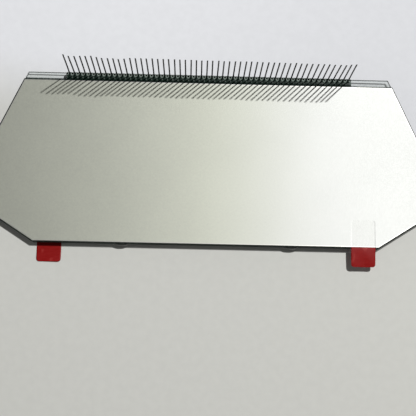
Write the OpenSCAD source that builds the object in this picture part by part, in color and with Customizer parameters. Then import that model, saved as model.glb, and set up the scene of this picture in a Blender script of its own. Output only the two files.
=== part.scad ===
// Bare segment LCD panel of an instrument cluster, lying on its viewing side.
// Units are millimetres. X runs along the panel, +Y points to the contact ledge,
// +Z points out of the rear face, and the contact pins stand up along +Z.
// The origin is the middle of the viewing side, on the outer face of its film.

/* [Glass] */
// Width of the panel over its two short side edges
glass_w = 157.2; // [150:0.1:180]
// Length of the straight near edge
near_w = 115.6; // [90:0.1:135]
// Length of the straight far edge, at the end of the ledge
far_w = 123.6; // [112:0.1:140]
// Depth of the front glass from its near edge to its far edge
glass_d = 58.6; // [50:0.1:75]
// Distance from the near edge to the lower end of each side edge
side_low = 13.3; // [8:0.1:18]
// Distance from the near edge to the upper end of each side edge
side_high = 22.1; // [20:0.1:34]
// Thickness of each of the two glass sheets
glass_t = 1.1; // [0.7:0.05:1.1]
// Depth of the bare ledge that the rear glass leaves free
ledge_d = 2.7; // [2.2:0.1:4]

/* [Cell] */
// Gap between the two glass sheets, which the liquid crystal fills
cell_gap = 0.01; // [0.006:0.001:0.03]
// Distance from the glass edge to the outer side of the seal line
seal_inset = 0.5; // [0.3:0.1:1]
// Width of the seal line
seal_w = 1; // [0.8:0.1:1.6]
// Distance of each filling port from the middle of the near edge
port_x = 28.3; // [15:0.1:40]
// Width of the gap in the seal line at each filling port
port_w = 3; // [2:0.1:4]
// Width of the end-seal plug outside the glass
plug_w = 5.2; // [4.4:0.1:7]
// How far the end-seal plug stands out of the near edge
plug_out = 0.8; // [0.4:0.05:1.2]
// Distance of the end-seal plug from each outer glass face
plug_margin = 0.2; // [0.1:0.05:0.3]
// Radius of the silver dots that join the electrodes of both sheets
dot_r = 0.35; // [0.25:0.01:0.38]

/* [Foils] */
// Thickness of each polarizer
polarizer_t = 0.2; // [0.15:0.01:0.3]
// Thickness of the reflector behind the rear polarizer
reflector_t = 0.06; // [0.04:0.01:0.12]
// Thickness of each protective film
film_t = 0.06; // [0.05:0.01:0.1]
// Distance from the edge of the rear glass to the edge of the foils on the front glass
front_inset = 0.5; // [0.2:0.05:1]
// Distance from the edge of the rear glass to the edge of the foils on it
rear_inset = 0.4; // [0.2:0.05:1]

/* [Pull tabs] */
// Width of each pull tab
tab_w = 8.2; // [5:0.1:12]
// Distance from the near corner of the glass to the side of the pull tab
tab_corner_gap = 1.2; // [1:0.1:5]
// Length of the red grip, measured from the near edge of the glass
tab_out = 6.3; // [4:0.1:10]
// Length of the clear tape that is stuck on the film
tab_in = 9.4; // [5:0.1:14]
// Thickness of the clear tape
tape_t = 0.05; // [0.04:0.01:0.08]
// Thickness of the red strip laminated to the tape
grip_t = 0.05; // [0.03:0.01:0.05]
// Radius of the corners of a pull tab
tab_r = 1; // [0.5:0.1:2]
// Gap between the edge of the film and the red strip
grip_gap = 0.1; // [0.05:0.05:0.3]

/* [Contact pins] */
// Number of contact pins in the row
pin_count = 54; // [24:1:60]
// Distance from pin to pin
pin_pitch = 1.8; // [1.27:0.01:2]
// Width of a pin along the row
pin_w = 0.45; // [0.3:0.01:0.6]
// Thickness of the strip that a pin is bent from
pin_t = 0.2; // [0.12:0.01:0.2]
// Height of a leg above the ledge
leg_h = 19.8; // [5:0.1:24]
// Distance from the far edge of the glass to the middle of the legs
leg_inset = 1.05; // [0.8:0.05:1.4]
// Inner radius of the bend at the foot of a leg
bend_r = 0.15; // [0.1:0.01:0.25]
// Length of the bevel at the tip of a leg
tip_bevel = 0.3; // [0.1:0.05:0.6]
// Length of the part of the tine that grips the glass from below
tine_l = 0.6; // [0.4:0.05:1]
// Length of the tine's free end, which is bent away from the glass
flare_l = 1.1; // [0.5:0.05:1.3]
// Angle that the tine's free end is bent by
flare_angle = 35; // [10:1:40]
// Number of groups that the row is stored in
pin_groups = 9; // [6:1:12]

/* [Pin bond] */
// Height of the resin bead where it meets the rear glass
bead_h = 1; // [0.6:0.05:1.05]
// Height of the resin bead at the far edge of the glass
bead_edge_h = 0.35; // [0.25:0.05:0.5]
// Radius of the resin bead's rounded top
bead_r = 3; // [2.4:0.1:6]
// How far the resin reaches past the outer pins
bead_past = 1.1; // [0.6:0.05:2]
// Thickness of the resin between the clips, outside and under the glass edge
skirt_t = 0.1; // [0.05:0.01:0.12]
// How far the resin reaches under the glass
under_l = 1.5; // [1:0.1:2]
// Radius of the bead's corners in plan
bead_corner_r = 0.8; // [0.4:0.05:1]

/* [Hidden] */

$fn = 48;

// Levels of the stack, from the outer face of the front film upwards
front_pol_z = film_t;
front_glass_z = front_pol_z + polarizer_t;
ledge_z = front_glass_z + glass_t;
rear_glass_z = ledge_z + cell_gap;
rear_pol_z = rear_glass_z + glass_t;
reflector_z = rear_pol_z + polarizer_t;
rear_film_z = reflector_z + reflector_t;
top_z = rear_film_z + film_t;

// Lines across the panel, with the middle of the glass at Y = 0
near_y = -glass_d / 2;
far_y = glass_d / 2;
rear_far_y = far_y - ledge_d;

// Contact row
row_l = (pin_count - 1) * pin_pitch;
leg_y = far_y - leg_inset;
leg_foot_z = ledge_z + pin_t + bend_r;
tip_z = ledge_z + leg_h;

// Pull tabs
tab_x = near_w / 2 - tab_corner_gap - tab_w / 2;

// Half the panel's width on its slanted upper edges, at a line across the panel
function slant_x(y) =
    let (t = (y - near_y - side_high) / (glass_d - side_high))
    glass_w / 2 + t * (far_w - glass_w) / 2;

// Outline of a glass sheet that ends at a given far line, as eight corners turning left
function sheet_outline(end_y) = [
    [-near_w / 2, near_y],
    [near_w / 2, near_y],
    [glass_w / 2, near_y + side_low],
    [glass_w / 2, near_y + side_high],
    [slant_x(end_y), end_y],
    [-slant_x(end_y), end_y],
    [-glass_w / 2, near_y + side_high],
    [-glass_w / 2, near_y + side_low]
];

// The same outline moved inwards by d: each corner is where its two moved edges cross
function unit(v) = v / norm(v);
function left_of(v) = [-v[1], v[0]];
function inset(points, d) = [
    for (i = [0:len(points) - 1])
        let (
            n = len(points),
            into = unit(points[i] - points[(i + n - 1) % n]),
            out = unit(points[(i + 1) % n] - points[i]),
            side = left_of(into) + left_of(out)
        )
        points[i] + side * d / (1 + left_of(into) * left_of(out))
];

// Centre of the circle of radius r that bulges to the left of the way from a to b
function arc_centre(a, b, r) =
    let (half = norm(b - a) / 2)
    (a + b) / 2 - left_of(unit(b - a)) * sqrt(r * r - half * half);

// Radius of the arc over a chord with the given rise at its middle
function arc_radius(chord, rise) = (chord * chord / 4 + rise * rise) / (2 * rise);

front_outline = sheet_outline(far_y);
rear_outline = sheet_outline(rear_far_y);
front_foil_outline = inset(rear_outline, front_inset);
rear_foil_outline = inset(rear_outline, rear_inset);
front_foil_y = near_y + front_inset;
rear_foil_y = near_y + rear_inset;

// A flat sheet of the given outline and thickness with its lower face at z
module sheet(outline, z, thickness) {
    translate([0, 0, z])
        linear_extrude(thickness)
            polygon(outline);
}

// A profile drawn in the YZ plane, run along X over a length centred on x
module along_x(x, length) {
    translate([x - length / 2, 0, 0])
        rotate([90, 0, 90])
            linear_extrude(length)
                children();
}

// A rectangle between two corners with its four corners rounded
module rounded_box(low, high, r) {
    translate([low[0] + r, low[1]])
        square([high[0] - low[0] - 2 * r, high[1] - low[1]]);
    translate([low[0], low[1] + r])
        square([high[0] - low[0], high[1] - low[1] - 2 * r]);
    for (x = [low[0] + r, high[0] - r], y = [low[1] + r, high[1] - r])
        translate([x, y])
            circle(r);
}

module front_film() {
    color([0.82, 0.87, 0.9, 0.4])
        sheet(front_foil_outline, 0, film_t);
}

module front_polarizer() {
    color([0.35, 0.38, 0.36])
        sheet(front_foil_outline, front_pol_z, polarizer_t);
}

module front_glass() {
    color([0.75, 0.85, 0.82, 0.5])
        sheet(front_outline, front_glass_z, glass_t);
}

module rear_glass() {
    color([0.75, 0.85, 0.82, 0.5])
        sheet(rear_outline, rear_glass_z, glass_t);
}

module rear_polarizer() {
    color([0.45, 0.47, 0.44])
        sheet(rear_foil_outline, rear_pol_z, polarizer_t);
}

module reflector() {
    color([0.78, 0.79, 0.74])
        sheet(rear_foil_outline, reflector_z, reflector_t);
}

module rear_film() {
    color([0.86, 0.88, 0.84, 0.4])
        sheet(rear_foil_outline, rear_film_z, film_t);
}

// Places of the two silver dots, in the middle of the seal line beside the row's end pins
dot_y = rear_far_y - seal_inset - seal_w / 2;
dot_x = row_l / 2;

module common_dot(side) {
    color("silver")
        translate([side * dot_x, dot_y, ledge_z])
            cylinder(r = dot_r, h = cell_gap);
}

// The gap in the seal line that the cell is filled through
module filling_port(side) {
    translate([side * port_x - port_w / 2, near_y])
        square([port_w, seal_inset + seal_w]);
}

module perimeter_seal() {
    color([0.85, 0.85, 0.8])
        translate([0, 0, ledge_z])
            linear_extrude(cell_gap)
                difference() {
                    polygon(inset(rear_outline, seal_inset));
                    polygon(inset(rear_outline, seal_inset + seal_w));
                    for (side = [-1, 1]) {
                        filling_port(side);
                        translate([side * dot_x, dot_y])
                            circle(dot_r);
                    }
                }
}

module liquid_crystal() {
    color([0.8, 0.8, 0.7, 0.5])
        sheet(inset(rear_outline, seal_inset + seal_w), ledge_z, cell_gap);
}

// Cured adhesive that fills a port and bulges over the edges of both sheets
module end_seal(side) {
    plug_low = front_glass_z + plug_margin;
    plug_high = rear_pol_z - plug_margin;
    plug_h = plug_high - plug_low;
    plan_r = arc_radius(plug_w, plug_out);
    side_r = arc_radius(plug_h, plug_out);
    color([0.2, 0.22, 0.2]) {
        intersection() {
            translate([side * port_x - plug_w / 2, near_y - plug_out, plug_low])
                cube([plug_w, plug_out, plug_h]);
            translate([side * port_x, near_y - plug_out + plan_r, plug_low])
                cylinder(r = plan_r, h = plug_h);
            along_x(side * port_x, plug_w)
                translate([near_y - plug_out + side_r, (plug_low + plug_high) / 2])
                    circle(side_r);
        }
        translate([0, 0, ledge_z])
            linear_extrude(cell_gap)
                filling_port(side);
    }
}

// Outline of a pull tab's clear tape: one end on the film, the other past the glass
module tape_plan(side) {
    rounded_box(
        [side * tab_x - tab_w / 2, near_y - tab_out],
        [side * tab_x + tab_w / 2, near_y + tab_in],
        tab_r
    );
}

// Outline of the red strip: the part of the tape that stays clear of the film
module grip_plan(side, foil_y) {
    intersection() {
        tape_plan(side);
        translate([side * tab_x - tab_w / 2, near_y - tab_out])
            square([tab_w, foil_y - grip_gap - near_y + tab_out]);
    }
}

module front_tab_tape() {
    color([0.85, 0.85, 0.85, 0.4])
        translate([0, 0, -tape_t])
            linear_extrude(tape_t)
                tape_plan(-1);
}

module front_tab_grip() {
    color([0.6, 0.08, 0.08])
        linear_extrude(grip_t)
            grip_plan(-1, front_foil_y);
}

module rear_tab_tape() {
    color([0.85, 0.85, 0.85, 0.4])
        translate([0, 0, top_z])
            linear_extrude(tape_t)
                tape_plan(1);
}

module rear_tab_grip() {
    color([0.6, 0.08, 0.08])
        translate([0, 0, top_z - grip_t])
            linear_extrude(grip_t)
                grip_plan(1, rear_foil_y);
}

// Rounded corner of a pin's clip: a quarter disc about an edge of the glass at z
module web_corner(z, low) {
    intersection() {
        translate([far_y, z])
            circle(pin_t);
        translate([far_y, low])
            square(pin_t);
    }
}

// Side view of one pin: a tine under the glass with its free end bent away, a web round
// the edge, a foot on the ledge, and a leg that rises from the foot to a bevelled tip
module pin_profile() {
    translate([far_y - tine_l, front_glass_z - pin_t])
        square([tine_l, pin_t]);
    translate([far_y - tine_l, front_glass_z])
        rotate(flare_angle)
            translate([-flare_l, -pin_t])
                square([flare_l, pin_t]);
    translate([far_y, front_glass_z])
        square([pin_t, glass_t]);
    web_corner(front_glass_z, front_glass_z - pin_t);
    web_corner(ledge_z, ledge_z);
    foot_y = leg_y + pin_t / 2 + bend_r;
    translate([foot_y, ledge_z])
        square([far_y - foot_y, pin_t]);
    intersection() {
        translate([foot_y, leg_foot_z])
            difference() {
                circle(bend_r + pin_t);
                circle(bend_r);
            }
        translate([foot_y - bend_r - pin_t, ledge_z])
            square(bend_r + pin_t);
    }
    polygon([
        [leg_y - pin_t / 2, leg_foot_z],
        [leg_y + pin_t / 2, leg_foot_z],
        [leg_y + pin_t / 2, tip_z - tip_bevel],
        [leg_y, tip_z],
        [leg_y - pin_t / 2, tip_z - tip_bevel]
    ]);
}

module contact_pin(i) {
    along_x(i * pin_pitch - row_l / 2, pin_w)
        pin_profile();
}

// One group of neighbouring pins, each pin a solid of its own
module contact_pins(group) {
    first = floor((group - 1) * pin_count / pin_groups);
    last = floor(group * pin_count / pin_groups) - 1;
    color([0.42, 0.42, 0.4])
        for (i = [first:last])
            contact_pin(i);
}

// Resin bead over the feet of the pins: its top is an arc from the wall of the rear
// glass to the far edge, and a thin skirt fills the gaps between the clips' webs and tines
module bead_profile() {
    wall = [rear_far_y, ledge_z + bead_h];
    edge = [far_y + skirt_t, ledge_z + bead_edge_h];
    intersection() {
        translate(arc_centre(wall, edge, bead_r))
            circle(bead_r);
        union() {
            translate([rear_far_y, ledge_z])
                square([ledge_d + skirt_t, bead_h + bead_r]);
            translate([far_y, front_glass_z - skirt_t])
                square([skirt_t, skirt_t + glass_t + bead_h]);
            translate([far_y - under_l, front_glass_z - skirt_t])
                square([under_l + skirt_t, skirt_t]);
        }
    }
}

module pin_bond() {
    bead_l = row_l + pin_w + 2 * bead_past;
    color([0.08, 0.2, 0.14])
        difference() {
            intersection() {
                along_x(0, bead_l)
                    bead_profile();
                translate([0, 0, front_glass_z - skirt_t])
                    linear_extrude(skirt_t + glass_t + bead_h + bead_r)
                        rounded_box([-bead_l / 2, rear_far_y], [bead_l / 2, far_y + skirt_t], bead_corner_r);
            }
            for (i = [0:pin_count - 1])
                contact_pin(i);
        }
}

front_film();
front_polarizer();
front_glass();
perimeter_seal();
liquid_crystal();
common_dot(-1);  // common_dot_left
common_dot(1);  // common_dot_right
end_seal(-1);  // end_seal_left
end_seal(1);  // end_seal_right
rear_glass();
rear_polarizer();
reflector();
rear_film();
front_tab_tape();
front_tab_grip();
rear_tab_tape();
rear_tab_grip();
pin_bond();
for (g = [1:pin_groups])
    contact_pins(g);
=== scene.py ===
import bpy
import numpy as np
from mathutils import Matrix, Vector


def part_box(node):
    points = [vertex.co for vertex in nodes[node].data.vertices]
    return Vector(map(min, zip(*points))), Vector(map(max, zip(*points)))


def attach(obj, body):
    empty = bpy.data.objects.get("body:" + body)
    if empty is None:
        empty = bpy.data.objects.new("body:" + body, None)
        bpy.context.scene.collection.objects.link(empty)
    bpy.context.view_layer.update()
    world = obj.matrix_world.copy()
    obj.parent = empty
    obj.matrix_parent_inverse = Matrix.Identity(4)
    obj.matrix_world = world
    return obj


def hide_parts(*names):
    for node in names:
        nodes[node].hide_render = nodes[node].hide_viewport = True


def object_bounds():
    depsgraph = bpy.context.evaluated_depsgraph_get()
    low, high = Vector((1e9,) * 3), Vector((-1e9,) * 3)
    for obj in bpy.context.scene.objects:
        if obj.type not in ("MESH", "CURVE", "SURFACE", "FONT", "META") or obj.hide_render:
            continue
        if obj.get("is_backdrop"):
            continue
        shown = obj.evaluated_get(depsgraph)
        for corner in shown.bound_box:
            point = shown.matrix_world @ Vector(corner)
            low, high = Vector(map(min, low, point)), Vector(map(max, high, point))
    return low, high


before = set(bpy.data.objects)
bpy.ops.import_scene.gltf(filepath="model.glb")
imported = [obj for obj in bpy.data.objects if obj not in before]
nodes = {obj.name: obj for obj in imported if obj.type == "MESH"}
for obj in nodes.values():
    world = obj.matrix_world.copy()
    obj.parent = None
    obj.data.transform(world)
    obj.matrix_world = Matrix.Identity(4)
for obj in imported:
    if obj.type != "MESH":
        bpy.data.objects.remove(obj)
cad_low, cad_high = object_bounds()


# GLASS SHEETS
# Two sheets of clear float glass, scribed and snapped to an eight-sided outline. The lower one
# is deeper and leaves a bare ledge for the contacts. Their faces are polished. Their snapped
# edges are painted nearly black: the dark green of snapped glass deepened by painted shade.
# A dark band, partly chips and partly painted shade, reaches in from the edges on the faces,
# wider and darker along the upper one's far edge.
def add(tree, kind, settings=None, sockets=None):
    """Adds a shader node. settings are its properties, and sockets its inputs: an input that is
    given another node's output is joined to it, and any other is set."""
    node = tree.nodes.new("ShaderNode" + kind)
    for name, value in (settings or {}).items():
        setattr(node, name, value)
    for name, value in (sockets or {}).items():
        if isinstance(value, bpy.types.NodeSocket):
            tree.links.new(value, node.inputs[name])
        else:
            node.inputs[name].default_value = value
    return node


def calc(tree, operation, *values):
    """The output of a Math node that works on up to three values or outputs."""
    return add(tree, "Math", {"operation": operation}, dict(enumerate(values))).outputs[0]


def split(tree, vector):
    """The X, Y and Z of a vector, as outputs of those names."""
    return add(tree, "SeparateXYZ", None, {0: vector}).outputs


def ramp(tree, value, start, end, low=0.0, high=1.0):
    """A value that goes smoothly from low to high while the given one goes from start to end."""
    return add(tree, "MapRange", {"interpolation_type": "SMOOTHSTEP"}, {
        "Value": value, "From Min": start, "From Max": end, "To Min": low, "To Max": high,
    }).outputs[0]


def mix(tree, share, first, second):
    """The colour that is first where share is 0 and second where it is 1."""
    node = add(tree, "Mix", {"data_type": "RGBA"}, {0: share, 6: first, 7: second})
    return node.outputs[2]


def noise(tree, position, scale, detail=2.0, stretch=(1, 1, 1)):
    """Smooth noise around 0.5 with so many lumps a metre, drawn out along the axes that stretch
    makes small."""
    place = add(tree, "VectorMath", {"operation": "MULTIPLY"}, {0: position, 1: stretch})
    return add(tree, "TexNoise", None, {
        "Vector": place.outputs[0], "Scale": scale, "Detail": detail,
    }).outputs["Fac"]


def bumps(tree, height, strength, distance):
    """The normal of a surface that rises by distance, in metres, as height goes up by 1. A
    strength under 1 flattens it."""
    return add(tree, "Bump", None, {
        "Strength": strength, "Distance": distance, "Height": height,
    }).outputs[0]


def tint(red, green, blue):
    """A colour for a shader from the three numbers, 0 to 255, that it has on a screen."""
    screen = np.array([red, green, blue]) / 255
    linear = np.where(screen > 0.04045, ((screen + 0.055) / 1.055) ** 2.4, screen / 12.92)
    return (*linear.tolist(), 1.0)


def start_material(name, **plain):
    """An empty material, its tree, its Principled node with the plain values set, and the
    position on the piece. Each plain value is named by its socket, with _ for a space."""
    material = bpy.data.materials.new(name)
    material.use_nodes = True
    tree = material.node_tree
    shader = tree.nodes["Principled BSDF"]
    for socket, value in plain.items():
        shader.inputs[socket.replace("_", " ")].default_value = value
    return material, tree, shader, add(tree, "TexCoord").outputs["Object"]


def join(tree, shader, **outputs):
    """Joins outputs to the shader's inputs, each named by its input with _ for a space."""
    for socket, output in outputs.items():
        tree.links.new(output, shader.inputs[socket.replace("_", " ")])


def start_group(name, inputs, outputs):
    """An empty node group with sockets of the given names and kinds, the outputs that give what
    is put in, and the inputs that take what comes out."""
    group = bpy.data.node_groups.new(name, "ShaderNodeTree")
    for label, kind in inputs.items():
        group.interface.new_socket(label, in_out="INPUT", socket_type="NodeSocket" + kind)
    for label, kind in outputs.items():
        group.interface.new_socket(label, in_out="OUTPUT", socket_type="NodeSocket" + kind)
    given = group.nodes.new("NodeGroupInput").outputs
    return group, given, group.nodes.new("NodeGroupOutput").inputs


def place_group(tree, group, sockets):
    """Puts a node group in a tree with its inputs set or joined, and gives its outputs."""
    return add(tree, "Group", {"node_tree": group}, sockets).outputs


def dress(material, *names):
    """Gives CAD nodes a material in all their slots."""
    for name in names:
        for slot in nodes[name].material_slots:
            slot.material = material


def clear_to_lamps(tree, shader, share):
    """Lets the shadow rays and bounced rays that light what lies under a clear piece pass
    straight through it where share is 1."""
    light_path = add(tree, "LightPath").outputs
    outside = calc(tree, "SUBTRACT", 1.0, light_path["Is Transmission Ray"])
    bounced = calc(tree, "MAXIMUM", light_path["Is Diffuse Ray"], light_path["Is Glossy Ray"])
    lit = calc(tree, "MULTIPLY", bounced, outside)
    through = calc(tree, "MULTIPLY", calc(tree, "MAXIMUM", light_path["Is Shadow Ray"], lit), share)
    open_way = add(tree, "BsdfTransparent")
    both = add(tree, "MixShader", None, {0: through, 1: shader.outputs[0], 2: open_way.outputs[0]})
    tree.links.new(both.outputs[0], tree.nodes["Material Output"].inputs["Surface"])


sheet_low, sheet_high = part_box("front_glass")
rear_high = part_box("rear_glass")[1]
near_half = 0.0578
far_half = 0.0618
side_low_y = sheet_low.y + 0.0133
side_high_y = sheet_low.y + 0.0221
level_slack = 0.000005
scribed_depth = 0.0006
edge_dark = 0.9
edge_band = (0.00004, 0.00022)
edge_band_waver = 0.00012
wall_band = (0.0004, 0.0006)
wall_band_widening = 0.0001

# How far a point lies inside the eight-sided outline: the least of its distances from the
# near line, the far line, the side, and the two slanted edges, with the left folded right
edge_distance, given, made = start_group(
    "distance from the outline", {"Position": "Vector", "Far Line": "Float"}, {"Distance": "Float"}
)
parts = split(edge_distance, given["Position"])
across = calc(edge_distance, "ABSOLUTE", parts["X"])
distances = [
    calc(edge_distance, "SUBTRACT", parts["Y"], sheet_low.y),
    calc(edge_distance, "SUBTRACT", given["Far Line"], parts["Y"]),
    calc(edge_distance, "SUBTRACT", sheet_high.x, across),
]
for start, end in (
    ((near_half, sheet_low.y), (sheet_high.x, side_low_y)),
    ((sheet_high.x, side_high_y), (far_half, sheet_high.y)),
):
    along = Vector(end) - Vector(start)
    inward = Vector((-along.y, along.x)).normalized()
    slope = calc(edge_distance, "MULTIPLY_ADD", parts["Y"], inward.y, -inward.dot(Vector(start)))
    distances.append(calc(edge_distance, "MULTIPLY_ADD", across, inward.x, slope))
least = distances[0]
for distance in distances[1:]:
    least = calc(edge_distance, "MINIMUM", least, distance)
edge_distance.links.new(least, made["Distance"])

glass, tree, shader, position = start_material(
    "clear float glass", Transmission_Weight=1.0, IOR=1.52
)
smudge = noise(tree, position, 60, 3.0)
join(
    tree, shader,
    Base_Color=mix(tree, smudge, tint(246, 251, 248), tint(250, 253, 251)),
    Roughness=ramp(tree, smudge, 0.45, 0.7, 0.01, 0.03),
)

# The snapped edges, rough to the depth of the scribed line and smoother below it, coloured
# nearly black as their own dark green with painted shade, and the band of chips and painted
# shade that reaches in from them on the faces
spot = split(tree, position)
upright = split(tree, add(tree, "NewGeometry").outputs["True Normal"])["Z"]
snapped = calc(tree, "LESS_THAN", calc(tree, "ABSOLUTE", upright), 0.5)
on_rear = calc(tree, "GREATER_THAN", spot["Z"], sheet_high.z + level_slack)
scribed_from = calc(
    tree, "MULTIPLY_ADD", on_rear, rear_high.z - sheet_high.z, sheet_high.z - scribed_depth
)
scribed = calc(tree, "MULTIPLY", snapped, calc(tree, "GREATER_THAN", spot["Z"], scribed_from))
hackle = noise(tree, position, 2600, 4.0, (1, 1, 0.25))
edge_shader = add(tree, "BsdfPrincipled", None, {
    "Base Color": mix(tree, hackle, tint(9, 15, 13), tint(40, 54, 48)),
    "Roughness": calc(tree, "MULTIPLY_ADD", calc(tree, "MULTIPLY", hackle, scribed), 0.5, 0.4),
    "Specular IOR Level": 0.12,
    "Normal": bumps(tree, hackle, 0.5, 0.00004),
})
far_line = calc(tree, "MULTIPLY_ADD", on_rear, rear_high.y - sheet_high.y, sheet_high.y)
inside = place_group(tree, edge_distance, {"Position": position, "Far Line": far_line})["Distance"]
# A dark band in from each edge on the faces, partly chips and partly painted shade, wider and
# darker along the far wall of the upper sheet
inside = calc(tree, "MULTIPLY_ADD", hackle, -edge_band_waver, inside)
off_wall = calc(tree, "SUBTRACT", rear_high.y, spot["Y"])
by_wall = calc(tree, "MULTIPLY", ramp(tree, off_wall, *wall_band, 1.0, 0.0), on_rear)
inside = calc(tree, "MULTIPLY_ADD", by_wall, -wall_band_widening, inside)
opacity = calc(tree, "MULTIPLY_ADD", by_wall, 0.45, 0.55)
chips_and_shade = calc(tree, "MULTIPLY", ramp(tree, inside, *edge_band, 1.0, 0.0), opacity)

# A dark line on the ledge along the foot of the rear glass, which fades out to the right, and a
# faint haze beside it
foot_band = (0.00055, 0.0008)
haze_band = (0.0008, 0.0018)
thins_out = (-0.055, 0.045)
past_wall = calc(tree, "SUBTRACT", spot["Y"], rear_high.y)
foot_line = calc(
    tree, "MULTIPLY", ramp(tree, past_wall, *foot_band, 1.0, 0.0),
    ramp(tree, spot["X"], *thins_out, 1.0, 0.35),
)
foot_darkening = calc(tree, "MAXIMUM", foot_line, ramp(tree, past_wall, *haze_band, 0.18, 0.0))
on_ledge = calc(
    tree, "MULTIPLY", calc(tree, "GREATER_THAN", past_wall, 0.0),
    calc(tree, "GREATER_THAN", spot["Z"], sheet_high.z - level_slack),
)
chips_and_shade = calc(tree, "MAXIMUM", chips_and_shade, calc(tree, "MULTIPLY", foot_darkening, on_ledge))
dark = calc(tree, "MULTIPLY", calc(tree, "MAXIMUM", snapped, chips_and_shade), edge_dark)
sheet_shader = add(tree, "MixShader", None, {
    0: dark, 1: shader.outputs[0], 2: edge_shader.outputs[0],
})
clear_to_lamps(tree, sheet_shader, calc(tree, "MULTIPLY_ADD", snapped, -0.8, 1.0))
dress(glass, "front_glass", "rear_glass")


# CELL
# A printed line of epoxy with glass spacers joins the two sheets all round, and the gap
# inside it is filled with liquid crystal. Two dots of silver paste in the line carry the
# common contact from one sheet to the other.
seal, tree, shader, position = start_material("seal epoxy", Roughness=0.45)
spacers = noise(tree, position, 9000, 1.0)
join(tree, shader, Base_Color=mix(tree, spacers, tint(176, 172, 152), tint(214, 211, 196)))
dress(seal, "perimeter_seal")

crystal, tree, shader, position = start_material("liquid crystal", Roughness=0.12)
threads = noise(tree, position, 900, 4.0, (1, 0.4, 1))
join(tree, shader, Base_Color=mix(tree, threads, tint(186, 190, 170), tint(212, 214, 196)))
dress(crystal, "liquid_crystal")

silver, tree, shader, position = start_material("silver paste", Metallic=0.9)
flakes = noise(tree, position, 30000)
join(
    tree, shader,
    Base_Color=mix(tree, flakes, tint(150, 150, 146), tint(214, 214, 208)),
    Roughness=ramp(tree, flakes, 0.3, 0.7, 0.25, 0.55),
)
dress(silver, "common_dot_left", "common_dot_right")


# END SEALS
# After filling, each port in the near edge is closed with a drop of dark adhesive that is
# cured by ultraviolet light. It sets as a smooth flattened dome over the edges of both sheets.
def grid_faces(rows, columns, around=False):
    """The four corners of each cell of a grid of points, in rows one after another. around
    joins the last column to the first."""
    row, column = np.mgrid[0:rows - 1, 0:columns if around else columns - 1]
    after = (column + 1) % columns
    return np.stack([
        row * columns + column, row * columns + after,
        (row + 1) * columns + after, (row + 1) * columns + column,
    ], -1).reshape(-1, 4)


def tube_faces(rows, columns):
    """The faces of a closed tube: rings of points joined in turn, and one face over each end."""
    ring = np.arange(columns)
    ends = np.stack([ring[::-1], ring + (rows - 1) * columns])
    return grid_faces(rows, columns, True).tolist() + ends.tolist()


def make_piece(name, points, faces, material, slot, *replaced, smooth=True):
    """A mesh object that rides on the panel and stands for the CAD nodes replaced. points is an
    array of places, and faces a list of point numbers, turned outwards if their volume, which is
    in proportion to the sum of each face's middle times its normal, is negative."""
    points = np.asarray(points, float).reshape(-1, 3)
    quads = np.array([face for face in faces if len(face) == 4])
    corners = points[quads]
    normals = np.cross(corners[:, 2] - corners[:, 0], corners[:, 3] - corners[:, 1])
    if (normals * corners.mean(1)).sum() < 0:
        faces = [face[::-1] for face in faces]
    mesh = bpy.data.meshes.new(name)
    mesh.from_pydata(points.tolist(), [], faces)
    mesh.polygons.foreach_set("use_smooth", np.full(len(mesh.polygons), smooth))
    mesh.materials.append(material)
    piece = bpy.data.objects.new(name, mesh)
    bpy.context.scene.collection.objects.link(piece)
    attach(piece, "root")
    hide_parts(*replaced)
    return piece


adhesive, tree, shader, position = start_material(
    "end seal adhesive", Coat_Weight=0.7, Coat_Roughness=0.08, Specular_IOR_Level=0.5
)
cloud = noise(tree, position, 1500, 3.0)
join(
    tree, shader,
    Base_Color=mix(tree, cloud, tint(22, 24, 22), tint(46, 49, 44)),
    Roughness=ramp(tree, cloud, 0.3, 0.7, 0.25, 0.4),
    Normal=bumps(tree, cloud, 0.3, 0.00005),
)

drop_rings = 18
drop_around = 64
pole_turn = 0.04
corner_power = 0.8
overlap = 0.000003


def adhesive_drop(low, high, wobble):
    """A dome over a rounded rectangle on the near edge: rings shrink from the rim to the pole
    while the surface comes out along -Y as the square root of 1 less the square of their size,
    and the rim wavers a little round the drop. A first ring closes its back, an overlap inside
    the glass."""
    turn = np.linspace(0, 2 * np.pi, drop_around, endpoint=False)
    down = np.linspace(np.pi / 2, pole_turn, drop_rings)
    level = np.append(1.0, np.sin(down))[:, None]
    rise = np.append(0.0, np.cos(down))[:, None]
    round_x = np.sign(np.cos(turn)) * np.abs(np.cos(turn)) ** corner_power
    round_z = np.sign(np.sin(turn)) * np.abs(np.sin(turn)) ** corner_power
    rim = 1 - 0.03 * (1 + np.sin(3 * turn + wobble)) - 0.02 * (1 + np.cos(5 * turn - wobble))
    x = (low.x + high.x) / 2 + level * rim * round_x * (high.x - low.x) / 2
    z = (low.z + high.z) / 2 + level * rim * round_z * (high.z - low.z) / 2
    y = sheet_low.y - rise * (sheet_low.y - low.y) + 0 * x
    y[0] += overlap
    return np.stack([x, y, z], -1)


for side, wobble in (("left", 0.6), ("right", 2.9)):
    drop = adhesive_drop(*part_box("end_seal_" + side), wobble)
    make_piece(
        "adhesive_drop_" + side, drop, tube_faces(*drop.shape[:2]), adhesive, "end_seal",
        "end_seal_" + side,
    )


# POLARIZERS AND REFLECTOR
# A sheet polarizer is laminated to each outer face, a little smaller than the glass. Behind
# the rear one a thin sheet of satin silver throws the light back through the cell. Only
# their cut edges show, because the protective films cover their faces.
polarizer, tree, shader, position = start_material("sheet polarizer", Coat_Weight=0.4)
layers = noise(tree, position, 4000, 3.0, (0.2, 0.2, 6))
join(
    tree, shader,
    Base_Color=mix(tree, layers, tint(48, 50, 48), tint(84, 87, 82)),
    Roughness=ramp(tree, layers, 0.3, 0.7, 0.3, 0.5),
)
dress(polarizer, "front_polarizer", "rear_polarizer")

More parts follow.
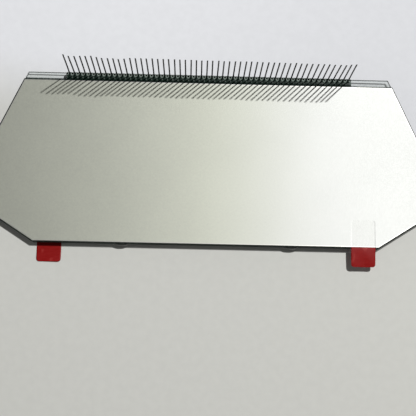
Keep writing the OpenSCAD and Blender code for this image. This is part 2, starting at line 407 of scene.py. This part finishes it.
reflector, tree, shader, position = start_material("reflector foil", Metallic=1.0)
flakes = noise(tree, position, 5000)
join(
    tree, shader,
    Base_Color=mix(tree, flakes, tint(176, 178, 168), tint(206, 208, 198)),
    Roughness=ramp(tree, flakes, 0.3, 0.7, 0.35, 0.5),
)
dress(reflector, "reflector")


# PROTECTIVE FILMS
# A clear film is left on each side of the panel until it is fitted. The rear one shows the
# satin silver reflector under it, and the front one the pale grey-green of the display with
# no voltage on it, framed by the seal line.
def shaded(tree, colour, shade):
    """A colour times a brightness."""
    return add(tree, "VectorMath", {"operation": "SCALE"}, {0: colour, "Scale": shade}).outputs[0]


# Grain: fine lumps, and a third of broad ones in the shade
grain, given, made = start_group(
    "film grain",
    {"Position": "Vector", "Lumps": "Float", "Contrast": "Float"},
    {"Shade": "Float", "Height": "Float"},
)
fine = noise(grain, given["Position"], given["Lumps"])
broad = noise(grain, given["Position"], 45.0, 3.0)
both = calc(grain, "MULTIPLY_ADD", broad, 0.35, calc(grain, "MULTIPLY", fine, 0.65))
shade = calc(grain, "MULTIPLY_ADD", calc(grain, "SUBTRACT", both, 0.5), given["Contrast"], 1.0)
grain.links.new(shade, made["Shade"])
grain.links.new(fine, made["Height"])

# Hairline scratches: two layers of noise drawn out along different ways, of which only the
# highest crests are kept
scratches, given, made = start_group(
    "hairline scratches", {"Position": "Vector", "Amount": "Float"}, {"Mask": "Float"}
)
masks = []
for angle, stretch in ((0.5, (14, 420, 1)), (-1.1, (10, 520, 1))):
    turned = add(scratches, "Mapping", None, {
        "Vector": given["Position"], "Rotation": (0, 0, angle), "Scale": stretch,
    }).outputs[0]
    masks.append(ramp(scratches, noise(scratches, turned, 8.0, 1.0), 0.72, 0.8))
scratch = calc(scratches, "MAXIMUM", *masks)
scratches.links.new(calc(scratches, "MULTIPLY", scratch, given["Amount"]), made["Mask"])

# Silver face: a painted highlight makes it a little whiter to the right, and painted shade makes
# it darker towards its far right corner. Its cut edge is a pale line
foil_inset = 0.0004
cut_band = (foil_inset + 0.0001, foil_inset + 0.0003)
painted_highlight_x = (-0.005, 0.045)
painted_shade_x = (0.036, 0.078)
painted_shade_y = (-0.03, 0.01)
silver_face, tree, shader, position = start_material(
    "satin silver under rear film",
    Metallic=1.0, Anisotropic=0.636, Coat_Weight=0.1, Coat_Roughness=0.3,
)
rolled = add(tree, "Tangent", {"direction_type": "RADIAL", "axis": "X"}).outputs[0]
where = {"Position": position, "Far Line": rear_high.y}
cut_edge = ramp(tree, place_group(tree, edge_distance, where)["Distance"], *cut_band, 1.0, 0.0)
face_grain = place_group(tree, grain, {"Position": position, "Lumps": 1600.0, "Contrast": 0.22})
face_marks = place_group(tree, scratches, {"Position": position, "Amount": 0.25})
spot = split(tree, position)
# The silver's colour, made whiter to the right by a painted highlight
satin = mix(tree, ramp(tree, spot["X"], *painted_highlight_x), tint(225, 227, 215), tint(224, 225, 222))
# Painted shade towards the far right corner
painted_shade = calc(
    tree, "MULTIPLY", ramp(tree, spot["X"], *painted_shade_x, 0.0, -0.14),
    ramp(tree, spot["Y"], *painted_shade_y, 0.6, 1.0),
)
shade = calc(tree, "MULTIPLY", face_grain["Shade"], calc(tree, "ADD", painted_shade, 1.0))
rough = ramp(tree, face_grain["Height"], 0.3, 0.7, 0.665, 0.695)
rough = calc(tree, "MULTIPLY_ADD", face_marks["Mask"], -0.1, rough)
join(
    tree, shader,
    Tangent=rolled,
    Base_Color=mix(tree, cut_edge, shaded(tree, satin, shade), tint(238, 238, 232)),
    Roughness=calc(tree, "MULTIPLY_ADD", cut_edge, -0.15, rough),
    Normal=bumps(tree, face_grain["Height"], 0.25, 0.00002),
)
dress(silver_face, "rear_film")

# Display face: pale grey-green, with the seal line as a darker frame and a few light scuffs
seal_from = 0.0005
seal_to = 0.0015
seal_blur = 0.0001
display_face, tree, shader, position = start_material(
    "display under front film", Metallic=0.35, Coat_Weight=1.0, Coat_Roughness=0.05
)
where = {"Position": position, "Far Line": rear_high.y}
inside = place_group(tree, edge_distance, where)["Distance"]
seal_line = calc(
    tree, "MULTIPLY",
    ramp(tree, inside, seal_from, seal_from + seal_blur),
    ramp(tree, inside, seal_to, seal_to + seal_blur, 1.0, 0.0),
)
view_grain = place_group(tree, grain, {"Position": position, "Lumps": 2400.0, "Contrast": 0.12})
view_marks = place_group(tree, scratches, {"Position": position, "Amount": 1.0})
plain = shaded(tree, tint(168, 176, 158)[:3], view_grain["Shade"])
framed = mix(tree, calc(tree, "MULTIPLY", seal_line, 0.55), plain, tint(128, 132, 120))
scuffs = calc(tree, "MULTIPLY", view_marks["Mask"], 0.35)
join(
    tree, shader,
    Base_Color=mix(tree, scuffs, framed, tint(214, 218, 208)),
    Roughness=ramp(tree, view_grain["Height"], 0.3, 0.7, 0.34, 0.42),
    Normal=bumps(tree, view_grain["Height"], 0.15, 0.00001),
)
dress(display_face, "front_film")


# PULL TABS
# A strip of clear tape is stuck on each film at a near corner, and its free end is backed
# with a red strip to pull the film off by. The rear tab stands free past the glass and hangs
# a little. The front tab lies on the table under the panel.
def slab(outline_y, half_width, centre_x, bottom, thickness, columns=25):
    """A thin closed strip from a centre line. Each row of points goes across it at one y, as wide
    as half_width says there, and bottom(x, y) gives the height of its underside. Returns the
    points of the underside and then of the top, and the faces of both sheets and of the wall
    that joins their rims."""
    x = centre_x + half_width[:, None] * np.linspace(-1, 1, columns)[None]
    y = outline_y[:, None] + 0 * x
    low = np.stack([x, y, bottom(x, y)], -1)
    high = low + np.array([0, 0, thickness])
    rows, count = len(x), x.size
    sheet = grid_faces(rows, columns)
    rim = np.concatenate([
        np.arange(columns),
        np.arange(1, rows) * columns + columns - 1,
        (rows - 1) * columns + np.arange(columns - 2, -1, -1),
        np.arange(rows - 2, 0, -1) * columns,
    ])
    after = np.roll(rim, -1)
    wall = np.stack([rim, after, after + count, rim + count], -1)
    faces = np.concatenate([sheet[:, ::-1], sheet + count, wall])
    return np.concatenate([low.reshape(-1, 3), high.reshape(-1, 3)]), faces.tolist()


def rounded_width(y, low, high, half, radius):
    """Half the width of a strip with round corners at its low and high ends: less by the gap
    between the corner's square and its circle."""
    past = np.maximum(0, radius - np.minimum(y - low, high - y))
    return half - radius + np.sqrt(np.maximum(radius ** 2 - past ** 2, 0))


clear_tape, tree, shader, position = start_material(
    "clear tape", Transmission_Weight=1.0, IOR=1.15
)
wipe = noise(tree, position, 700, 3.0, (1, 0.15, 1))
join(
    tree, shader,
    Base_Color=mix(tree, wipe, tint(251, 251, 250), tint(255, 255, 255)),
    Roughness=ramp(tree, wipe, 0.3, 0.7, 0.01, 0.03),
    Normal=bumps(tree, wipe, 0.2, 0.00002),
)
clear_to_lamps(tree, shader, 1.0)

red_strip, tree, shader, position = start_material(
    "red strip", Coat_Weight=0.1, Coat_Roughness=0.35, Specular_IOR_Level=0.15
)
fibres = noise(tree, position, 1400, 4.0, (0.35, 1.6, 1))
creases = noise(tree, position, 330, 1.0, (1, 0.5, 1))
# Paler streaks along the creases: a painted sheen where they catch the light
painted_crease_sheen = calc(tree, "MULTIPLY", ramp(tree, creases, 0.6, 0.68), 0.35)
red = mix(tree, fibres, tint(128, 9, 8), tint(148, 15, 13))
join(
    tree, shader,
    Base_Color=mix(tree, painted_crease_sheen, red, tint(176, 66, 60)),
    Roughness=ramp(tree, fibres, 0.3, 0.7, 0.35, 0.5),
    Normal=bumps(tree, creases, 0.35, 0.0001),
)

corner = 0.001
tape_gap = 0.000004
red_inset = 0.00003
hang = 0.0005
hang_reach = 0.007
fold_depth = 0.00009
fold_wave_x, fold_wave_y = 900, 500
curl = 0.00025
curl_from = 0.002
curl_reach = 0.005
curl_wave = 600
corner_rows, tape_rows, red_rows = 9, 46, 24


def rear_height(x, y):
    """The rear tab's underside: flat on the film, then hanging with the square of the way past
    the film's edge, with shallow folds, a sine wave on a slant, in the hanging end."""
    free = np.clip((sheet_low.y + foil_inset - y) / hang_reach, 0, 1)
    folds = fold_depth * np.sin(fold_wave_x * x + fold_wave_y * y) * free
    return -hang * free ** 2 + folds * (1 - 0.5 * free)


def front_height(x, y):
    """The front tab's underside: flat under the film and on the table, then curling up with the
    square of the way to its free end, more or less across it by a sine wave."""
    free = np.clip((sheet_low.y - curl_from - y) / curl_reach, 0, 1)
    return curl * free ** 2 * (1 + 0.4 * np.sin(curl_wave * x))


# Rows of points into a round corner lie closer together towards the strip's end
into_corner = corner * (1 - np.cos(np.linspace(0, np.pi / 2, corner_rows)))
for side, height in (("rear", rear_height), ("front", front_height)):
    low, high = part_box(side + "_tab_tape")
    half, middle = (high.x - low.x) / 2, (high.x + low.x) / 2
    tape_base = low.z + (tape_gap if side == "rear" else 0)
    tape_y = np.concatenate([
        low.y + into_corner,
        np.linspace(low.y + corner, high.y - corner, tape_rows)[1:-1],
        high.y - into_corner[::-1],
    ])
    points, faces = slab(
        tape_y, rounded_width(tape_y, low.y, high.y, half, corner), middle,
        lambda x, y: tape_base + height(x, y), high.z - low.z - tape_gap,
    )
    make_piece(side + "_tape_strip", points, faces, clear_tape, "clear_tape", side + "_tab_tape")

    red_low, red_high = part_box(side + "_tab_grip")
    red_base = red_low.z + (tape_gap if side == "front" else 0)
    red_y = np.concatenate([
        red_low.y + into_corner, np.linspace(red_low.y + corner, red_high.y, red_rows)[1:],
    ])
    points, faces = slab(
        red_y, rounded_width(red_y, low.y, high.y, half, corner) - red_inset, middle,
        lambda x, y: red_base + height(x, y), red_high.z - red_low.z - tape_gap,
    )
    make_piece(side + "_red_strip", points, faces, red_strip, "red_strip", side + "_tab_grip")


# CONTACT PINS
# A row of 54 pins, each bent from flat plated strip: a tine with a flared end grips the glass
# from below, a web runs round its edge, a foot lies on the ledge, and from it a long leg
# stands up to enter the board. In packing the legs have been bent a little out of line.
pin_count = 54
groups = 9
pitch = 0.0018
pin_width = 0.00045
strip = 0.0002
strip_on_glass = 0.00013
round_edge = 0.00003
tine = 0.0006
flare = 0.0011
flare_turn = np.radians(35)
leg_y = 0.02825
leg_steps = 10
bend = 0.00015
ledge_z = sheet_high.z
glass_under = sheet_low.z
far_y = sheet_high.y
tip_z = cad_high.z
tip_bevel = 0.0003
tip_taper = 0.3
sheen_z = (0.006, 0.019)

# Dull tin, darkened to near black with painted shade where the pins show dark, and painted lighter
# in streaks higher up the legs, a painted sheen
plating, tree, shader, position = start_material(
    "dull tin plating with painted shade", Metallic=0.6, Specular_IOR_Level=0.12
)
blotch = noise(tree, position, 1800, 4.0, (1, 1, 0.3))
rub_and_sheen = noise(tree, position, 6000, 2.0, (1, 1, 0.1))
painted_sheen = calc(
    tree, "MULTIPLY", ramp(tree, split(tree, position)["Z"], *sheen_z, 0.0, 0.7),
    ramp(tree, rub_and_sheen, 0.3, 0.75),
)
dull_tin_in_shade = mix(tree, blotch, tint(6, 6, 6), tint(20, 20, 19))
join(
    tree, shader,
    Base_Color=mix(tree, painted_sheen, dull_tin_in_shade, tint(66, 66, 63)),
    Roughness=ramp(tree, blotch, 0.3, 0.7, 0.4, 0.58),
    Normal=bumps(tree, rub_and_sheen, 0.3, 0.00002),
)


def arc(centre_y, centre_z, radius, start, end, count):
    """Points on a circle about a centre in the YZ plane, from one angle to another in degrees."""
    turn = np.radians(np.linspace(start, end, count))
    return np.stack([centre_y + radius * np.cos(turn), centre_z + radius * np.sin(turn)], -1)


# The middle line of the strip in the YZ plane, from the flared end to the tip of the leg
foot_y = leg_y + strip / 2 + bend
bend_z = ledge_z + strip + bend
mitre = strip / 2 * np.tan(flare_turn / 2)
flare_root = np.array([far_y - tine + mitre, glass_under - strip / 2])
flare_way = np.array([-np.cos(flare_turn), -np.sin(flare_turn)])
leg_z = np.linspace(bend_z, tip_z - tip_bevel, leg_steps + 1)[1:]
pin_line = np.concatenate([
    [flare_root + flare_way * (flare - mitre), flare_root],
    arc(far_y, glass_under, strip / 2, -90, 0, 5),
    arc(far_y, ledge_z, strip / 2, 0, 90, 5),
    arc(foot_y, bend_z, bend + strip / 2, -90, -180, 6),
    np.stack([np.full(leg_steps, leg_y), leg_z], -1),
    [[leg_y, tip_z]],
])
leg_from = len(pin_line) - leg_steps - 1
ahead = np.gradient(pin_line, axis=0)
ahead /= np.linalg.norm(ahead, axis=1, keepdims=True)
across_strip = np.stack([-ahead[:, 1], ahead[:, 0]], -1)

# The section of the strip, a rectangle with cut corners, as thick as keeps it clear of the
# glass, and how many times as thick it is along the line: full on the leg and thin at the tip
half_wide, half_thick = pin_width / 2, strip_on_glass / 2
flat_wide, flat_thick = half_wide - round_edge, half_thick - round_edge
section = np.array([
    (half_wide, -flat_thick), (half_wide, flat_thick),
    (flat_wide, half_thick), (-flat_wide, half_thick),
    (-half_wide, flat_thick), (-half_wide, -flat_thick),
    (-flat_wide, -half_thick), (flat_wide, -half_thick),
])
taper = np.ones(len(pin_line))
taper[leg_from:] = strip / strip_on_glass
taper[-1] = tip_taper

# Lean of each leg at its tip, in metres: small scatter, and a slow wave along the row. The
# first few are bowed back most, and the first of all farthest. The others end a little short
scatter_x, scatter_y = 0.00005, 0.00004
first_back = 0.00105
short_least, short_scatter = 0.00005, 0.00012
chance = np.random.RandomState(7)
place = np.arange(pin_count)
lean_x = chance.normal(0, scatter_x, pin_count)
lean_x += np.interp(
    place, (0, 3, 10, 13, 27, 43, 51, 53),
    (-0.0002, -0.00015, -0.00026, -0.00019, -0.00023, -0.00016, -0.00004, -0.00035),
)
lean_y = chance.normal(0, scatter_y, pin_count)
lean_y += np.interp(
    place, (1, 5, 7, 10, 12, 18, 26, 35, 42, 47, 51, 53),
    np.array([62, 77, 25, -3, 48, 36, 25, 23, 10, 8, -7, 22]) * 0.00001,
)
lean_y[0] = first_back
short = short_least + np.abs(chance.normal(0, short_scatter, pin_count))
short[0] = 0.0

# Each pin is the section carried along the line. It leans evenly sideways from the bend to the
# tip, and backwards as a bow, with the 0.4th power of the way up
bow = 0.4
pin_x = (place - (pin_count - 1) / 2) * pitch
share = np.clip((pin_line[:, 1] - bend_z) / (tip_z - bend_z), 0, 1)
share[:leg_from] = 0
centre = np.zeros((pin_count, len(pin_line), 3))
centre[:, :, 0] = pin_x[:, None] + lean_x[:, None] * share[None]
centre[:, :, 1] = pin_line[None, :, 0] + lean_y[:, None] * share[None] ** bow
centre[:, :, 2] = pin_line[None, :, 1] - short[:, None] * share[None]
pins = centre[:, :, None, :] + np.zeros((1, 1, len(section), 1))
pins[..., 0] += section[:, 0]
pins[..., 1] += across_strip[None, :, None, 0] * section[:, 1] * taper[None, :, None]
pins[..., 2] += across_strip[None, :, None, 1] * section[:, 1] * taper[None, :, None]

per_pin = len(pin_line) * len(section)
ring = np.arange(len(section))
walls = grid_faces(len(pin_line), len(section), True)
ends = np.stack([ring[::-1], ring + per_pin - len(section)])
for group in range(groups):
    first, last = group * pin_count // groups, (group + 1) * pin_count // groups
    starts = per_pin * np.arange(last - first)[:, None, None]
    faces = (walls + starts).reshape(-1, 4).tolist()
    faces += (ends + starts).reshape(-1, len(section)).tolist()
    make_piece(
        f"pin_group_{group + 1}", pins[first:last], faces, plating, "pin",
        f"contact_pins_{group + 1}", smooth=False,
    )


# RESIN BEAD
# The feet of the pins are potted in dark green resin, run along the corner between the ledge
# and the rear glass and round the glass edge. It creeps up the legs and sags in each gap
# between them to a thinner skin with a small pit. The skin and a stem below it are painted
# paler, partly thinner resin and partly painted light; the pit is painted dark, painted shade,
# and its rim pale, a painted reflection.
pit_inset = 0.0005
skin_half = (0.0003, 0.0007)
skin_from = (0.0001, 0.0003)
skin_to = (0.0010, 0.0014)
stem_half = (0.0001, 0.00035)
stem_to = (0.0018, 0.0024)
rim_glint_band = (0.00044, 0.00062)
pit_shade_band = (0.0003, 0.00042)
drift_span = 0.0005
resin, tree, shader, position = start_material(
    "dark green resin", Coat_Weight=0.05, Coat_Roughness=0.5, Specular_IOR_Level=0.08
)
swirl = noise(tree, position, 900, 3.0)
specks = noise(tree, position, 7000, 1.0)
spot = split(tree, position)

# How far a point lies from the middle of the nearest gap, from the glass edge with a slow
# drift, and from the middle of the nearest pit
in_pitches = calc(tree, "MULTIPLY_ADD", spot["X"], 1 / pitch, pin_count / 2)
off_gap = calc(tree, "SUBTRACT", calc(tree, "FRACT", calc(tree, "ADD", in_pitches, 0.5)), 0.5)
off_gap = calc(tree, "MULTIPLY", calc(tree, "ABSOLUTE", off_gap), pitch)
drift = calc(tree, "MULTIPLY_ADD", swirl, drift_span, -drift_span / 2)
from_edge = calc(tree, "ADD", calc(tree, "SUBTRACT", far_y, spot["Y"]), drift)
pit_off = calc(tree, "SUBTRACT", far_y - pit_inset, spot["Y"])
pit_gap = calc(tree, "SQRT", calc(
    tree, "ADD", calc(tree, "MULTIPLY", off_gap, off_gap), calc(tree, "MULTIPLY", pit_off, pit_off)
))

# The skin, and the narrower stem from it towards the rear glass, paler as thinner resin and painted
# light
skin_deep = calc(
    tree, "MULTIPLY", ramp(tree, from_edge, *skin_from), ramp(tree, from_edge, *skin_to, 1.0, 0.0)
)
lit_skin = calc(tree, "MULTIPLY", ramp(tree, off_gap, *skin_half, 1.0, 0.0), skin_deep)
lit_stem = calc(
    tree, "MULTIPLY", ramp(tree, off_gap, *stem_half, 1.0, 0.0),
    ramp(tree, from_edge, *stem_to, 0.6, 0.0),
)
dark = mix(tree, swirl, tint(6, 18, 13), tint(18, 38, 29))
pale = mix(tree, swirl, tint(86, 100, 92), tint(126, 138, 130))
green = mix(tree, calc(tree, "MAXIMUM", lit_skin, lit_stem), dark, pale)
# A pale rim round each pit, a painted reflection
green = mix(tree, ramp(tree, pit_gap, *rim_glint_band, 0.45, 0.0), green, tint(158, 164, 157))
# The pit painted nearly black, painted shade
join(
    tree, shader,
    Base_Color=mix(tree, ramp(tree, pit_gap, *pit_shade_band, 1.0, 0.0), green, tint(3, 6, 5)),
    Roughness=ramp(tree, swirl, 0.3, 0.7, 0.3, 0.5),
    Normal=bumps(tree, specks, 0.35, 0.00004),
)

past_last_pin = 0.0011
bead_half = pin_x[-1] + pin_width / 2 + past_last_pin
bead_wall = np.array([rear_high.y, ledge_z + 0.001])
bead_edge = np.array([far_y + 0.0001, ledge_z + 0.00035])
bead_radius = 0.003
bead_skirt = 0.0001
bead_under = 0.0015
bead_least = 0.0001
stations, top_points = 1001, 34
round_end = 0.0008
least_fullness = 0.0004
creep_height, creep_fall = 0.00032, 0.00016
sag_depth, sag_past_leg, sag_spread = 0.00024, 0.0001, 0.0006
pit_depth, pit_spread = 0.0003, 0.0002
lip_height, lip_radius, lip_spread = 0.00006, 0.00042, 0.0001
ridge_height, ridge_spread = 0.00006, 0.00018
wave_height = 0.00003

# The bare bead is an arc from the wall of the rear glass to the glass edge. Its centre lies on
# the line square to the chord through its middle
chord = bead_edge - bead_wall
reach = np.sqrt(bead_radius ** 2 - (chord @ chord) / 4)
square_on = np.array([-chord[1], chord[0]]) / np.hypot(*chord)
bead_centre = (bead_wall + bead_edge) / 2 - reach * square_on

bead_x = np.linspace(-bead_half, bead_half, stations)
top_y = np.linspace(bead_wall[0] - overlap, bead_edge[0], top_points)
X, Y = np.meshgrid(bead_x, top_y, indexing="ij")
arc_z = bead_centre[1] + np.sqrt(bead_radius ** 2 - (Y - bead_centre[0]) ** 2) - ledge_z
to_pin = X - pin_x[np.clip(np.rint((X - pin_x[0]) / pitch), 0, pin_count - 1).astype(int)]
to_gap = pitch / 2 - np.abs(to_pin)
in_row = np.abs(X) < pin_x[-1]

# On it come a creep that falls off exponentially from each leg, a lip round each pit and a
# ridge from each gap to the rear glass, both bell curves, and three slow sine waves. Off it
# come a sag, a cosine along the row and a bell curve across it, and the pit, a bell curve. At
# the two ends of the bead the height falls away as a quarter circle
leg_gap = np.hypot(
    np.maximum(np.abs(to_pin) - pin_width / 2, 0), np.maximum(np.abs(Y - leg_y) - strip / 2, 0)
)
creep = creep_height * np.exp(-leg_gap / creep_fall)
midway = np.where(in_row, 0.5 - 0.5 * np.cos(2 * np.pi * to_pin / pitch), 0)
sag = sag_depth * midway * np.exp(-((Y - leg_y - sag_past_leg) / sag_spread) ** 2)
pit_gap = np.where(in_row, np.hypot(to_gap, Y - (far_y - pit_inset)), 1)
pit = pit_depth * np.exp(-(pit_gap / pit_spread) ** 2)
lip = lip_height * np.exp(-((pit_gap - lip_radius) / lip_spread) ** 2)
on_ridge = in_row & (Y < leg_y)
ridge = ridge_height * np.where(on_ridge, np.exp(-(to_gap / ridge_spread) ** 2), 0)
waves = wave_height * (
    np.sin(X * 410 + 1.3) + np.sin(X * 730 + Y * 900) + np.sin(X * 1510 - Y * 1300)
)
from_end = np.clip((bead_half - np.abs(X)) / round_end, 0, 1)
fullness = np.sqrt(np.clip(1 - (1 - from_end) ** 2, least_fullness, 1))
top_h = np.clip(arc_z + creep - sag - pit + lip + ridge + waves, bead_least, None) * fullness
full = fullness[:, :1]


def run(y_from, y_to, z_from, z_to, count):
    """A straight stretch of the bead's profile for every station along the row: count points,
    evenly spaced between its two ends."""
    step = np.linspace(0, 1, count + 2)[1:-1] + 0 * full
    y = y_from + (y_to - y_from) * step
    z = z_from + (z_to - z_from) * step
    return np.stack([bead_x[:, None] + 0 * step, y, z], -1)


# The profile goes over the top, down the skirt, under the glass edge, and back along the sheet
# an overlap inside it
skirt_y = far_y + bead_skirt * full
under_z = glass_under - bead_skirt * full
under_y = far_y - bead_under * full
inner_y = far_y - overlap
inner_z = ledge_z - overlap
hidden_z = glass_under + overlap
crest_y = np.where(Y > far_y, far_y + (Y - far_y) * full, Y)
crest = np.stack([X, np.minimum(Y, crest_y), ledge_z + top_h], -1)
profile = np.concatenate([
    crest,
    run(skirt_y, skirt_y, crest[:, -1:, 2], under_z, 7),
    run(skirt_y, under_y, under_z, under_z, 9),
    run(under_y, under_y, under_z, hidden_z, 1),
    run(under_y, inner_y, hidden_z, hidden_z, 2),
    run(inner_y, inner_y, hidden_z, inner_z, 3),
    run(inner_y, rear_high.y - overlap, inner_z, inner_z, 3),
], 1)
make_piece("resin_bead", profile, tube_faces(*profile.shape[:2]), resin, "resin", "pin_bond")


# TABLE
# The panel lies on a matt white board, a little warmer towards the viewer. Painted shade makes
# it darker towards the viewer and dimmer at the far right. It rests on the front tab near its
# left near corner and on the flared end of the first tine, so it leans.
half_table = 1.6
table_gap = 0.00002
lean_right = 0.003

# Across the panel it leans by as much as puts both of these feet on the board
flare_foot = far_y - tine - flare * np.cos(flare_turn) + strip * np.sin(flare_turn)
first_foot = near_half + pin_x[0] - pin_width / 2
under_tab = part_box("front_tab_tape")[0].z
lean_back = (under_tab - cad_low.z - lean_right * first_foot) / (flare_foot - sheet_low.y)
table_x, table_y = np.array([(-1, 1, 1, -1), (-1, -1, 1, 1)]) * half_table
table_z = (
    under_tab - table_gap - lean_right * (table_x + near_half)
    - lean_back * (table_y - sheet_low.y)
)
mesh = bpy.data.meshes.new("table")
mesh.from_pydata(np.stack([table_x, table_y, table_z], -1).tolist(), [], [(0, 1, 2, 3)])
table = bpy.data.objects.new("table", mesh)
bpy.context.scene.collection.objects.link(table)
table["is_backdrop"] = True

painted_falloff_span = (-0.008, 0.024)
painted_shade_right = (-0.05, 0.09)
board, tree, shader, position = start_material(
    "matt white board", Specular_IOR_Level=0.2, Roughness=0.7
)
spot = split(tree, position)
pulp = noise(tree, position, 400, 4.0)
# Painted shade: darker towards the viewer and at the far right
away = ramp(tree, calc(tree, "MULTIPLY_ADD", spot["X"], 0.25, spot["Y"]), *painted_falloff_span)
pale = mix(tree, away, tint(210, 210, 204), tint(233, 234, 237))
side_shade = calc(
    tree, "MULTIPLY_ADD", ramp(tree, spot["X"], *painted_shade_right, 0.0, -0.13), away,
    ramp(tree, spot["X"], *painted_shade_right, 1.0, 0.98),
)
shade = calc(tree, "MULTIPLY", side_shade, ramp(tree, pulp, 0.2, 0.8, 0.98, 1.02))
join(tree, shader, Base_Color=shaded(tree, pale, shade))
mesh.materials.append(board)


# LIGHT
# One compact lamp, far to the right and behind, casts the pins' long shadows on the face,
# and the room round it is dim overhead and pale along the horizon.
lamp_place = Vector((0.435, 0.428, 0.963))
lamp_data = bpy.data.lights.new("lamp", "AREA")
lamp_data.shape = "DISK"
lamp_data.size = 0.03
lamp_data.energy = 12.1
lamp = bpy.data.objects.new("lamp", lamp_data)
lamp.location = lamp_place
lamp.rotation_mode = "QUATERNION"
lamp.rotation_quaternion = lamp_place.to_track_quat("Z", "Y")
bpy.context.scene.collection.objects.link(lamp)

horizon = (0.72, 0.73, 0.74, 1)
overhead = (0.07, 0.07, 0.07, 1)
world = bpy.data.worlds.new("room")
world.use_nodes = True
bpy.context.scene.world = world
sky = world.node_tree
up = split(sky, add(sky, "TexCoord").outputs["Generated"])["Z"]
room = mix(sky, ramp(sky, calc(sky, "ABSOLUTE", up), 0.0, 0.6), horizon, overhead)
sky.links.new(room, sky.nodes["Background"].inputs["Color"])


# CAMERA
# It stands above the near side of the panel and looks down and slightly away, through a long
# lens.
camera_place = (-0.007819, -0.065505, 0.31226)
camera_data = bpy.data.cameras.new("camera")
camera_data.sensor_width = 36.0
camera_data.lens = 80.96
camera_data.clip_start = 0.01
camera_data.clip_end = 20.0
camera = bpy.data.objects.new("camera", camera_data)
turn = Matrix.Rotation(-0.022, 3, "Z") @ Matrix.Rotation(0.026, 3, "Y")
turn = turn @ Matrix.Rotation(-0.156, 3, "X")
camera.matrix_world = Matrix.Translation(camera_place) @ turn.transposed().to_4x4()
bpy.context.scene.collection.objects.link(camera)
bpy.context.scene.camera = camera
bpy.context.scene.view_settings.view_transform = "Standard"


# SIZE
# The box of the dressed model is found, beside the CAD box kept from the start.
low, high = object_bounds()
